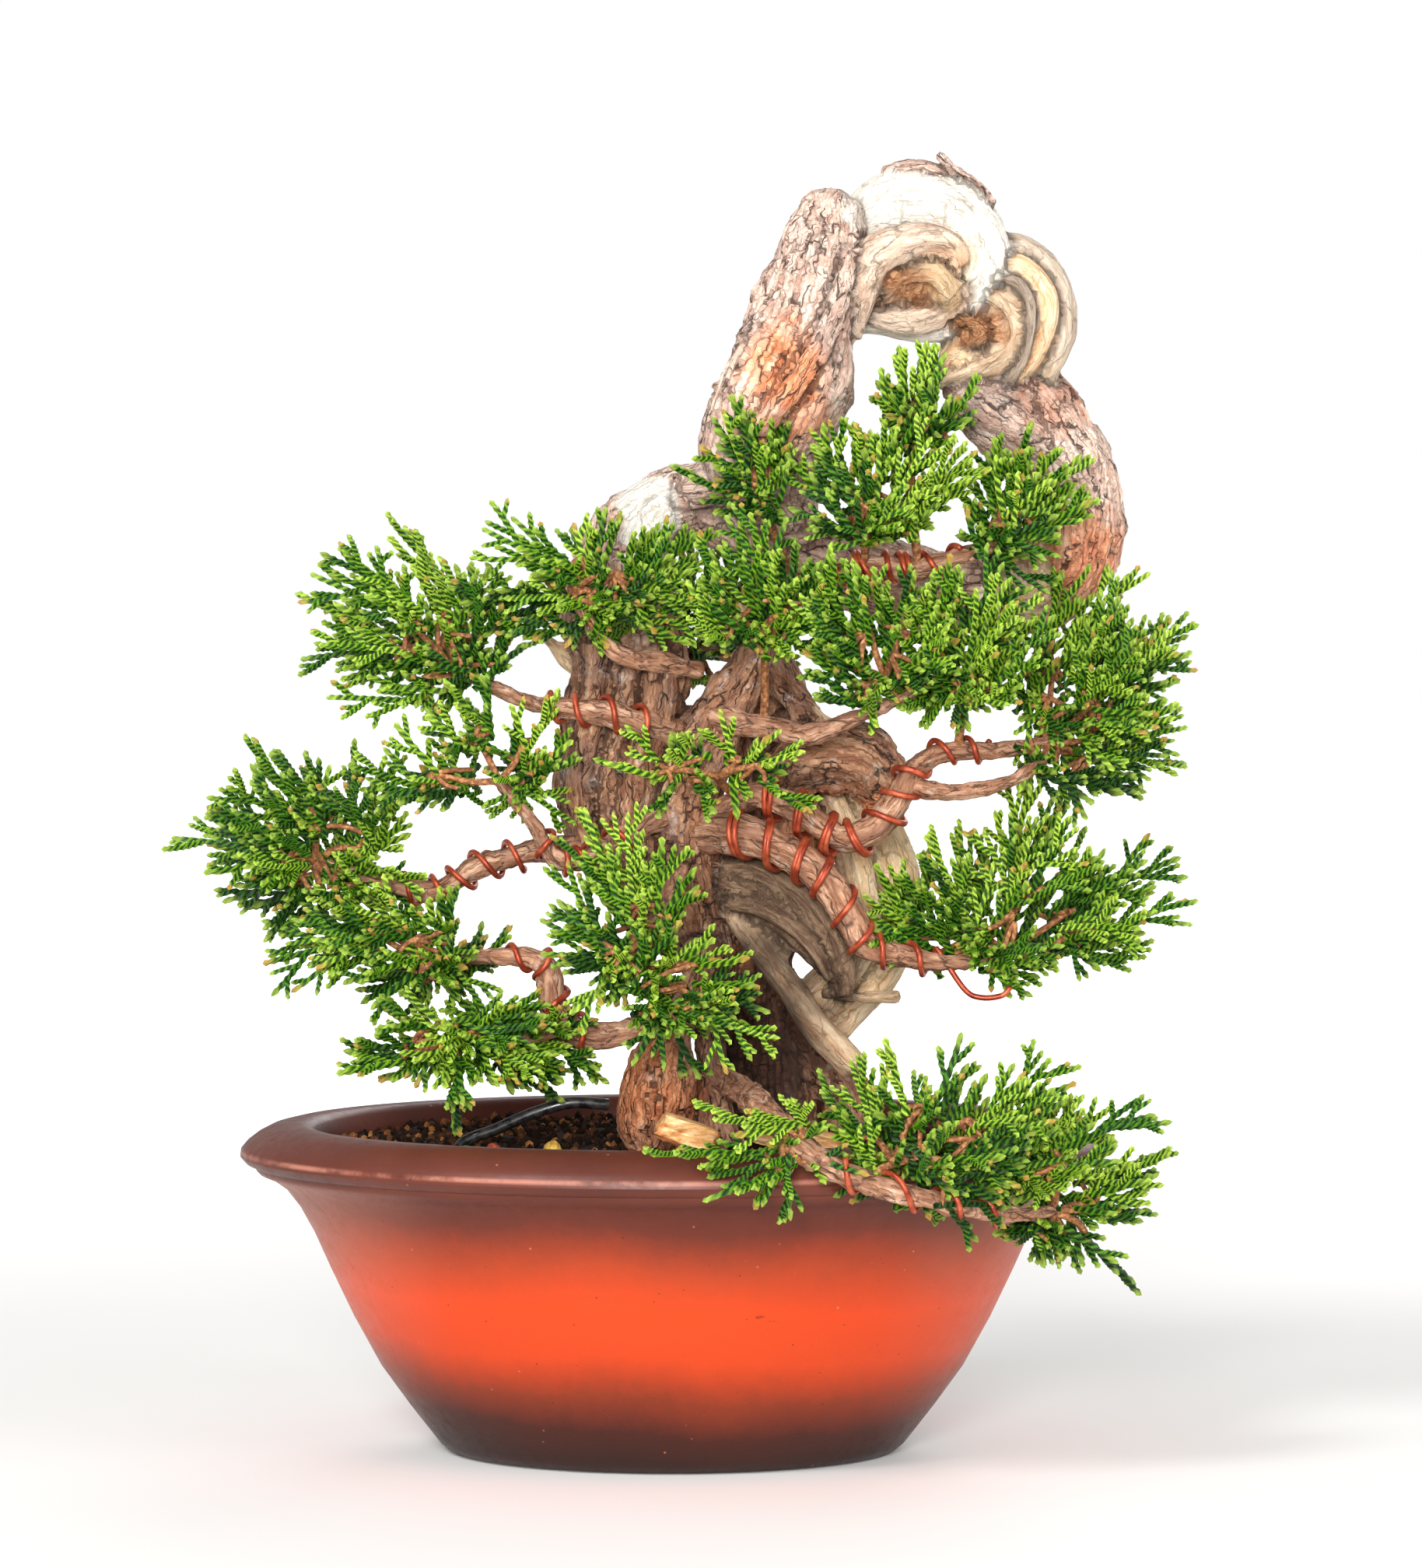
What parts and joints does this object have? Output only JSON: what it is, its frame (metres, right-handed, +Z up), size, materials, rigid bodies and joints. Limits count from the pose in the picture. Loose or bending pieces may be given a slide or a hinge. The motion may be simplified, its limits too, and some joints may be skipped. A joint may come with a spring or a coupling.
{
  "type": "bonsai tree in a pot",
  "caption": "Juniper bonsai with a twisted, looped deadwood trunk, wired branches and layered scale-leaf foliage in an oval stoneware pot.",
  "frame": {"origin": "centre of the pot's flat underside", "axes": "+Z up through the pot, +X along the pot's long side towards the looped crown, -Y towards the front of the tree"},
  "size_m": [0.24, 0.1837, 0.3103],
  "materials": {
    "stoneware": "satin",
    "mesh_plastic": "matte",
    "soil": "matte",
    "black_wire": "gloss",
    "trunk_wood": "matte",
    "wood_chip": "matte",
    "grain": "matte",
    "moss": "matte",
    "branch_bark": "matte",
    "copper_wire": "satin",
    "foliage": "satin"
  },
  "bodies": {
    "root": {"pot": "stoneware", "drain_screen_left": "mesh_plastic", "drain_screen_right": "mesh_plastic", "soil": "soil", "anchor_wire": "black_wire", "trunk": "trunk_wood", "wood_chunk": "wood_chip", "wood_plate_left": "wood_chip", "wood_plate_right": "wood_chip", "grain_ochre": "grain", "grain_red": "grain", "grain_small": "grain", "grain_grey": "grain", "moss_patch": "moss", "branch_right_upper": "branch_bark", "branch_right_fork": "branch_bark", "branch_right_lower": "branch_bark", "branch_left_upper": "branch_bark", "branch_left_middle": "branch_bark", "branch_left_far": "branch_bark", "branch_left_lower": "branch_bark", "branch_left_base": "branch_bark", "branch_over_rim": "branch_bark", "branch_top": "branch_bark", "branch_middle": "branch_bark", "branch_upper_left": "branch_bark", "branch_front": "branch_bark", "branch_back": "branch_bark", "wire_right_upper": "copper_wire", "wire_right_lower": "copper_wire", "wire_left_upper": "copper_wire", "wire_left_middle": "copper_wire", "wire_left_far": "copper_wire", "wire_left_lower": "copper_wire", "wire_top": "copper_wire", "wire_over_rim": "copper_wire", "foliage_top": "foliage", "foliage_top_left": "foliage", "foliage_top_middle": "foliage", "foliage_top_right": "foliage", "foliage_upper_left": "foliage", "foliage_centre_left": "foliage", "foliage_centre": "foliage", "foliage_centre_right": "foliage", "foliage_right": "foliage", "foliage_left_upper": "foliage", "foliage_left_middle": "foliage", "foliage_left_far": "foliage", "foliage_left_lower": "foliage", "foliage_left_base": "foliage", "foliage_front_middle": "foliage", "foliage_front_lower": "foliage", "foliage_front_base": "foliage", "foliage_right_lower": "foliage", "foliage_rim_front": "foliage", "foliage_rim_middle": "foliage", "foliage_rim_right": "foliage", "foliage_back": "foliage"}
  },
  "joints": []
}
